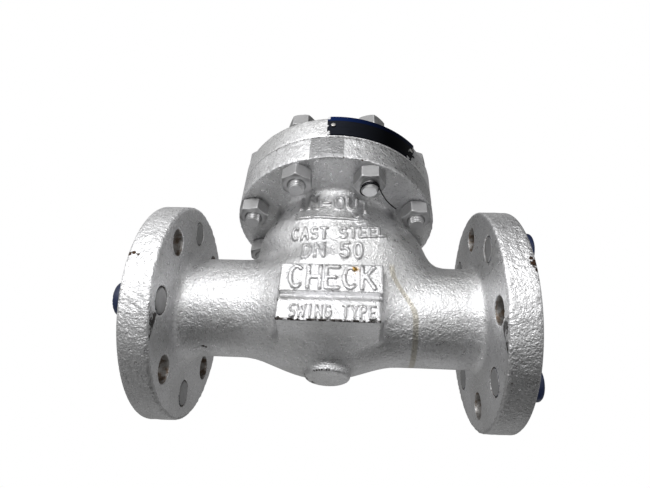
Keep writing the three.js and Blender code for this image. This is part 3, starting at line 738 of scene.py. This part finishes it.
# The nuts' and studs' paint is painted darker than the body's: painted shade.
nut_paint = silver_paint("nut_paint", grain=0.0010, depth=0.00015, rough=(0.45, 0.6), painted_light_tone=0.58)
stud_paint = silver_paint("stud_paint", grain=0.0010, depth=0.0001, rough=(0.3, 0.4), painted_light_tone=0.8)
hole_wall = hole_metal("bolt_hole_steel")
raised_face_steel = serrated_face("raised_face_steel")
machined = bare_steel("machined_steel")
plain_steel = bare_steel("plain_steel", (0.5, 0.49, 0.47, 1), (0.32, 0.31, 0.3, 1), (0.25, 0.45))
inside_paint = bare_steel("inside_casting", (0.22, 0.2, 0.18, 1), (0.12, 0.1, 0.09, 1), (0.5, 0.7))
wire_steel = bare_steel("wire_steel", (0.035, 0.035, 0.04, 1), (0.02, 0.02, 0.022, 1), (0.35, 0.5))
plastic = navy_plastic("protector_plastic")
gasket_finish = graphite("gasket_graphite")


def set_materials(piece, materials, index=None):
    """Gives a piece its materials; index picks one for each face."""
    piece.data.materials.clear()
    for material in materials:
        piece.data.materials.append(material)
    if index is not None:
        piece.data.polygons.foreach_set("material_index", index.astype(np.int32))


def face_centres(piece):
    """Each face's centre, in millimetres."""
    centres = np.empty(len(piece.data.polygons) * 3, np.float32)
    piece.data.polygons.foreach_get("center", centres)
    return centres.reshape(-1, 3).T / MM


# ---------------------------------------------------------------- body and cover

BODY_STEP = 0.72
COVER_STEP = 0.9
CAST_ADAPTIVITY = 0.08


def make_body():
    body = cast_object("body_casting", body_field, body_low, body_high, BODY_STEP, CAST_ADAPTIVITY)
    x, y, z = face_centres(body)
    along = np.sqrt(y * y + z * z)
    across = np.sqrt(x * x + y * y)
    index = np.zeros(len(x), np.int32)
    index[((along > 80.5) & (np.abs(x) > 109)) | ((across > 84.3) & (z > 85))] = 1
    u, v = fold(y, z)
    wall = (np.hypot(u - BOLT_CIRCLE_R, v) < BOLT_HOLE_R + 0.3) & (np.abs(x) > 100)
    u, v = fold(x, y)
    wall |= (np.hypot(u - STUD_CIRCLE_R, v) < STUD_HOLE_R + 0.3) & (z > 80)
    index[wall] = 2
    index[(np.abs(x) > FLANGE["front"] + 0.6) & (along < RAISED_R + 1)] = 3
    index[body_hollows(x, y, z) < 0.4] = 4
    index[(z > TOP_FACE - 0.4) & (across < 66)] = 5
    set_materials(body, [paint, rim, hole_wall, raised_face_steel, inside_paint, machined], index)
    return place(body, "valve_body", "body_paint", "body")


def cover_field(x, y, z):
    r, edge = TOP_FLANGE["r"], 2.4
    plate = rod_field(x, y, z, r, COVER["under"], COVER["top"], edge)
    sharp_foot = rod_field(x, y, z, r, COVER["under"], COVER["under"] + 12, 0.3)
    d = np.minimum(plate, sharp_foot)
    boss = rod_field(x, y, z, COVER["boss_r"], COVER["top"] - 6, COVER["top"] + COVER["boss_h"], 1.2)
    d = smooth_min(d, boss, 3)
    cast = ramp(COVER["under"] + 0.5, COVER["under"] + 2, z)
    d = d + cast * (0.09 * lumps(x, y, z, 6.0) + 0.06 * lumps(x, y, z, 2.3))
    spigot = rod_field(x, y, z, COVER["spigot_r"], COVER["spigot_z"], COVER["under"] + 3, 0.5)
    d = np.minimum(d, spigot)
    u, v = fold(x, y)
    return smooth_max(d, -rod_field(u - STUD_CIRCLE_R, v, z, STUD_HOLE_R, 100, 150), 1.0)


def make_cover():
    cover = cast_object("cover_casting", cover_field, cover_low, cover_high, COVER_STEP, CAST_ADAPTIVITY)
    x, y, z = face_centres(cover)
    index = np.zeros(len(x), np.int32)
    u, v = fold(x, y)
    index[np.hypot(u - STUD_CIRCLE_R, v) < STUD_HOLE_R + 0.3] = 1
    index[z < COVER["under"] + 0.2] = 2
    set_materials(cover, [cover_paint, hole_wall, machined], index)
    return place(cover, "valve_body", "cover_paint", "cover")


make_body()
make_cover()

# ---------------------------------------------------------------- studs and nuts

STUD_R = 6.35
THREAD = {"pitch": 1.95, "depth": 0.75, "lower": 8.5, "upper": 6.5}
TIP_CONE = 1.0
NUT_SIDES = 96
NUT_FLATS = 22.2
NUT_PLAY = 0.2
STUD_SIDES = 40


def stud_rings(low, high):
    """A stud whose two ends show a screw thread, with a coned tip."""
    fine = THREAD["pitch"] / 10
    heights = np.concatenate([
        np.arange(low, low + THREAD["lower"], fine),
        np.linspace(low + THREAD["lower"], high - THREAD["upper"], 5)[:-1],
        np.arange(high - THREAD["upper"], high, fine),
        [high],
    ])
    angles = np.arange(STUD_SIDES) / STUD_SIDES * 2 * math.pi
    rings = []
    for z in heights:
        phase = np.mod(z / THREAD["pitch"] - angles / (2 * math.pi), 1)
        groove = np.abs(2 * phase - 1)
        from_end = min(z - low, high - z)
        middle = min(z - low - THREAD["lower"], high - THREAD["upper"] - z)
        depth = 0 if middle > -0.1 else THREAD["depth"]
        radius = STUD_R - depth * np.clip(groove * 1.3 - 0.15, 0, 1)
        radius = np.minimum(radius, STUD_R - TIP_CONE + from_end)
        heights_here = np.full(STUD_SIDES, z)
        rings.append(np.stack([radius * np.cos(angles), radius * np.sin(angles), heights_here], -1))
    return np.array(rings)


def nut_rings(flats, hole_r, low, high, corner):
    """A hexagonal nut, coned at both ends, with its first corner at the angle corner."""
    half = flats / 2
    angles = np.arange(NUT_SIDES) / NUT_SIDES * 2 * math.pi
    local = np.mod(angles - corner, math.pi / 3) - math.pi / 6
    face = half / np.cos(local)
    other = half / np.cos(math.pi / 3 - np.abs(local))
    soft = 0.5
    hexagon = smooth_min(face, other, soft)
    steps = np.array([0, 0.25, 0.6, 1.0, 1.5, 2.1, 3.0])
    heights = np.concatenate([low + steps, (high - steps)[::-1]])
    washer_r = half * 0.95
    rings = []
    for z in heights:
        end = min(z - low, high - z)
        cone = washer_r - 0.35 * max(0, 1 - end / 0.3) + end * math.sqrt(3)
        rings.append((smooth_min(hexagon, np.full(NUT_SIDES, cone), 0.4), z))
    bore = [(hole_r + 0.9, high), (hole_r, high - 0.9), (hole_r, low + 0.9), (hole_r + 0.9, low)]
    rings += [(np.full(NUT_SIDES, r), z) for r, z in bore]
    return np.array([
        np.stack([r * np.cos(angles), r * np.sin(angles), np.full(NUT_SIDES, z)], -1) for r, z in rings])


def corner_angle(node, centre):
    """The direction of a CAD nut's farthest corner from its own middle."""
    points = np.array([v.co[:2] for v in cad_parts[node].data.vertices]) / MM - centre
    far = points[np.argmax(np.hypot(points[:, 0], points[:, 1]))]
    return math.atan2(far[1], far[0])


def make_fasteners():
    for i in range(1, 9):
        low, high = box_mm(f"cover_stud_{i}")
        centre = ((low + high) / 2)[:2]
        shift = np.array([*centre, 0])
        stud = loft_object(f"threaded_stud_{i}", stud_rings(low[2], high[2]) + shift, False, 35)
        set_materials(stud, [stud_paint])
        place(stud, "valve_body", "stud_paint", f"cover_stud_{i}")
        for side in ("lower", "upper"):
            node = f"{side}_nut_{i}"
            low, high = box_mm(node)
            turn = corner_angle(node, centre)
            rings = nut_rings(NUT_FLATS, STUD_R + NUT_PLAY, low[2], high[2], turn) + shift
            nut = loft_object(f"hex_nut_{side}_{i}", rings, True, 28)
            set_materials(nut, [nut_paint])
            place(nut, "valve_body", "nut_paint", node)


make_fasteners()

# ---------------------------------------------------------------- nameplate and its pins

PLATE = {"from": -4, "to": 49, "thick": 0.8, "gap": 0.3, "band": 5.2, "edge": 0.25}


def make_nameplate():
    low, high = box_mm("nameplate")
    bottom, top = low[2], high[2]
    inner = TOP_FLANGE["r"] + PLATE["gap"]
    outer = inner + PLATE["thick"]
    e = PLATE["edge"]
    section = [
        (inner, bottom), (outer - e, bottom), (outer, bottom + e),
        (outer, top - e), (outer - e, top), (inner, top),
    ]
    turns = np.radians(np.linspace(PLATE["from"], PLATE["to"], 60))
    rings = [[(r * math.sin(a), -r * math.cos(a), z) for r, z in section] for a in turns]
    plate = loft_object("rating_plate", rings, False, 30)
    set_materials(plate, [plate_finish("nameplate_metal", (top - PLATE["band"]) * MM)])
    place(plate, "valve_body", "nameplate_metal", "nameplate")


make_nameplate()

# ---------------------------------------------------------------- flange protectors

PEG = {"r": 9.1, "end": 111.1, "button_r": 11.8, "button_x": 140}
CAP = {"plate": 132.5, "thick": 2.3, "inside": 135.9, "outside": 138.4, "r": 52, "well_r": 47.4, "lip": 1.5}
ARM_HALF = 7.5
CAP_STEP = 0.8
CAP_ADAPTIVITY = 0.1
PEG_ANGLES = {"inlet": (-22.5, 67.5, 157.5, -112.5), "outlet": (22.5, 112.5, -157.5, -67.5)}


def protector_field(pegs, side):
    """A dished cap with four buttons on arms, and a peg under each button."""
    def field(x, y, z):
        w = side * x
        r = np.sqrt(y * y + z * z)
        flat = rod_field(y, z, w, CAP["r"] + CAP["lip"], CAP["plate"], CAP["plate"] + CAP["thick"], 0.8)
        dome = rod_field(y, z, w, CAP["r"], CAP["plate"], CAP["outside"], 1.6)
        d = smooth_min(flat, dome, 1.5)
        d = smooth_max(d, -rod_field(y, z, w, CAP["well_r"], 100, CAP["inside"], 1), 1)
        ribs = 0.45 * np.exp(-((np.mod(r, 11) - 5.5) / 0.9) ** 2) * ramp(14, 16, r) * (1 - ramp(44, 46, r))
        d = d - ribs * ramp(CAP["outside"] - 1, CAP["outside"] - 0.5, w)
        for phi in pegs:
            a = math.radians(phi)
            cy, cz = -math.cos(a), math.sin(a)
            along, across = y * cy + z * cz, y * cz - z * cy
            u, v = along - BOLT_CIRCLE_R, across
            peg = rod_field(u, v, w, PEG["r"], PEG["end"], 136, 0.8)
            button = rod_field(u, v, w, PEG["button_r"], CAP["plate"], PEG["button_x"], 2.6)
            arm = block_field(
                along, across, w, (CAP["r"] - 3, -ARM_HALF, CAP["plate"]),
                (BOLT_CIRCLE_R, ARM_HALF, CAP["plate"] + CAP["thick"]), 0.8)
            d = smooth_min(d, smooth_min(button, np.minimum(peg, arm), 1.0), 1.2)
        return d
    return field


def make_protector(node, body, pegs, side):
    low, high = box_mm(node)
    name = node.replace("protector", "flange_cap")
    cap = cast_object(name, protector_field(pegs, side), low, high, CAP_STEP, CAP_ADAPTIVITY)
    x, _, _ = face_centres(cap)
    index = (np.abs(x) < PEG["end"] + 0.6).astype(np.int32)
    set_materials(cap, [plastic, nut_paint], index)
    place(cap, body, "protector_plastic", node)


make_protector("inlet_protector", "inlet_cap", PEG_ANGLES["inlet"], -1)
make_protector("outlet_protector", "outlet_cap", PEG_ANGLES["outlet"], 1)

# ---------------------------------------------------------------- tag wire

WIRE = {
    "r": 0.5, "stud": 22.5, "from": 210, "to": 710, "mid_z": 71.7, "tilt": 1.4, "pitch": 1.6, "sides": 12}
WIRE_TAIL = [(9.4, 5.3, 73), (13.7, 17.7, 77), (18.3, 25.9, 79), (22.9, 31.8, 80)]


def smooth_path(points, steps):
    """A Catmull-Rom curve through the points."""
    points = [Vector(p) for p in points]
    ends = [points[0] * 2 - points[1]] + points + [points[-1] * 2 - points[-2]]
    path = []
    for a, b, c, d in zip(ends, ends[1:], ends[2:], ends[3:]):
        for i in range(steps):
            t = i / steps
            path.append(0.5 * (2 * b + (c - a) * t + (2 * a - 5 * b + 4 * c - d) * t ** 2
                               + (3 * b - a - 3 * c + d) * t ** 3))
    return path + [points[-1]]


def tube_rings(path, radius, sides):
    """Rings round a path, each turned as little as can be from the one before."""
    normal = None
    rings = []
    for i, point in enumerate(path):
        ahead = path[min(i + 1, len(path) - 1)] - path[max(i - 1, 0)]
        ahead.normalize()
        if normal is None:
            normal = ahead.orthogonal()
        normal = (normal - ahead * normal.dot(ahead)).normalized()
        side = ahead.cross(normal)
        angles = [2 * math.pi * k / sides for k in range(sides)]
        rings.append([tuple(point + radius * (math.cos(a) * normal + math.sin(a) * side)) for a in angles])
    return rings


def make_wire():
    reach = STUD_R + 0.3 + WIRE["r"]
    middle = (WIRE["from"] + WIRE["to"]) / 2
    points = []
    steps = 16
    for i in range(steps + 1):
        turn = WIRE["from"] + (WIRE["to"] - WIRE["from"]) * i / steps
        a = math.radians(turn)
        z = WIRE["mid_z"] + WIRE["tilt"] * math.cos(a) - WIRE["pitch"] * (turn - middle) / 360
        points.append((reach * math.cos(a), reach * math.sin(a), z))
    psi = math.radians(WIRE["stud"])
    shift = Vector((STUD_CIRCLE_R * math.sin(psi), -STUD_CIRCLE_R * math.cos(psi), 0))
    path = [point + shift for point in smooth_path(points + WIRE_TAIL, 8)]
    wire = loft_object("tag_wire_coil", tube_rings(path, WIRE["r"], WIRE["sides"]), False, 40)
    set_materials(wire, [wire_steel])
    place(wire, "valve_body", "wire_steel", "tag_wire")


make_wire()

# ---------------------------------------------------------------- carried-over CAD pieces

CARRIED = {
    "seat_ring": machined, "cover_gasket": gasket_finish, "hinge_bracket": plain_steel,
    "bracket_screw_1": plain_steel, "bracket_screw_2": plain_steel, "hinge_pin": machined,
    "swing_arm": plain_steel, "disc": machined, "disc_washer": plain_steel, "disc_nut": plain_steel,
    "split_pin": wire_steel, "nameplate_pin_1": plain_steel, "nameplate_pin_2": plain_steel,
}


def finish_carried():
    for node, material in CARRIED.items():
        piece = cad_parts[node]
        set_materials(piece, [material])
        bevel = piece.modifiers.new("soft_edges", "BEVEL")
        bevel.width = 0.3 * MM
        bevel.segments = 2
        bevel.limit_method = "ANGLE"
        bevel.angle_limit = math.radians(32)


finish_carried()

# ---------------------------------------------------------------- floor, light and camera

FLOOR_Z = -0.42  # under the camera, which looks up at the valve
FLOOR_RINGS = (0.02, 0.4, 1.5, 6.0)


def make_floor():
    sides = 96
    turns = [2 * math.pi * k / sides for k in range(sides)]
    rings = []
    for radius in FLOOR_RINGS:
        rings.append([(radius * math.cos(a), radius * math.sin(a), 0) for a in turns])
    points = np.array(rings).reshape(-1, 3) + (0, 0, FLOOR_Z)
    faces = [tuple(range(sides))]
    for i in range(len(rings) - 1):
        for j in range(sides):
            k = (j + 1) % sides
            faces.append((i * sides + j, (i + 1) * sides + j, (i + 1) * sides + k, i * sides + k))
    floor = mesh_object("floor", points / MM, faces)
    f = Finish("floor_paper", Roughness=0.9)
    color = f.mix(f.noise(0.4, 2), (0.86, 0.86, 0.86, 1), (0.9, 0.9, 0.9, 1))
    set_materials(floor, [f.finish(color)])
    floor.visible_glossy = False


def area_light(name, at, target, size, power):
    data = bpy.data.lights.new(name, "AREA")
    data.shape = "DISK"
    data.size = size
    data.energy = power
    light = bpy.data.objects.new(name, data)
    bpy.context.scene.collection.objects.link(light)
    light.location = at
    direction = Vector(target) - Vector(at)
    light.rotation_euler = direction.to_track_quat("-Z", "Y").to_euler()
    light.visible_camera = False


STUDIO_LEVEL = 0.27
STUDIO_LEAST = 0.05
# Direction of a soft patch of light or shade, the cosines it fades between, and how bright it is.
STUDIO_LOBES = [
    ((-0.1, -0.97, 0.15), 0.3, 0.92, 0.60),
    ((-0.6, -0.4, 0.70), 0.5, 0.95, 0.30),
    ((0.65, -0.3, 0.70), 0.6, 1.0, -0.22),
    ((0.0, -0.9, -0.42), 0.75, 1.0, 0.22),
    ((0.25, -0.1, -1.0), 0.5, 0.93, -0.27),
    ((0.12, -0.47, -0.88), 0.86, 0.99, -0.10),
    ((-0.5, 0.1, -0.85), 0.7, 1.0, 0.10),
    ((0.0, 0.8, -0.6), 0.7, 1.0, 0.20),
]


def make_world():
    """Soft patches of light and shade round the object, on a plain white ground for the camera."""
    world = bpy.data.worlds.new("studio")
    world.use_nodes = True
    bpy.context.scene.world = world
    nodes, links = world.node_tree.nodes, world.node_tree.links
    back = nodes["Background"]
    coord = nodes.new("ShaderNodeTexCoord")
    level = None
    for direction, low, high, amount in STUDIO_LOBES:
        lobe = nodes.new("ShaderNodeVectorMath")
        lobe.operation = "DOT_PRODUCT"
        links.new(coord.outputs["Generated"], lobe.inputs[0])
        lobe.inputs[1].default_value = Vector(direction).normalized()
        soft = nodes.new("ShaderNodeMapRange")
        soft.interpolation_type = "SMOOTHSTEP"
        for key, value in (("From Min", low), ("From Max", high), ("To Max", amount)):
            soft.inputs[key].default_value = value
        links.new(lobe.outputs["Value"], soft.inputs["Value"])
        total = nodes.new("ShaderNodeMath")
        total.inputs[1].default_value = STUDIO_LEVEL
        if level is not None:
            links.new(level, total.inputs[1])
        links.new(soft.outputs["Result"], total.inputs[0])
        level = total.outputs[0]
    least = nodes.new("ShaderNodeMath")
    least.operation = "MAXIMUM"
    links.new(level, least.inputs[0])
    least.inputs[1].default_value = STUDIO_LEAST
    level = least.outputs[0]
    path = nodes.new("ShaderNodeLightPath")
    chosen = nodes.new("ShaderNodeMix")
    chosen.data_type = "RGBA"
    links.new(path.outputs["Is Camera Ray"], chosen.inputs[MIX_FACTOR])
    links.new(level, chosen.inputs[MIX_A])
    chosen.inputs[MIX_B].default_value = (1, 1, 1, 1)
    links.new(chosen.outputs[MIX_RESULT], back.inputs["Color"])
    back.inputs["Strength"].default_value = 1.0


CAMERA_AT = (0.01653, -0.33046, -0.17506)
CAMERA_LOOK = (-0.05996, 0.80261, 0.59349)
CAMERA_ROLL = 3.82
CAMERA_LENS = 26.0


def make_camera():
    data = bpy.data.cameras.new("photo_view")
    data.lens = CAMERA_LENS
    data.sensor_width = 36
    data.sensor_fit = "HORIZONTAL"
    data.clip_start = 0.01
    camera = bpy.data.objects.new("photo_view", data)
    bpy.context.scene.collection.objects.link(camera)
    look = Vector(CAMERA_LOOK).normalized()
    level = look.cross(Vector((0, 0, 1))).normalized()
    up = level.cross(look)
    roll = math.radians(CAMERA_ROLL)
    right = level * math.cos(roll) + up * math.sin(roll)
    top = right.cross(look)
    turn = Matrix((right, top, -look)).transposed()
    camera.matrix_world = Matrix.Translation(CAMERA_AT) @ turn.to_4x4()
    bpy.context.scene.camera = camera


make_floor()
make_world()
area_light("key", (-0.25, -1.35, 0.25), (0, 0, 0.03), 0.7, 7)
area_light("right_fill", (1.3, -0.9, 0.3), (0, 0, 0.02), 0.7, 1.2)
area_light("left_fill", (-1.4, -0.8, 0.3), (0, 0, 0.02), 0.7, 1.2)
make_camera()
bpy.context.scene.view_settings.view_transform = "Standard"
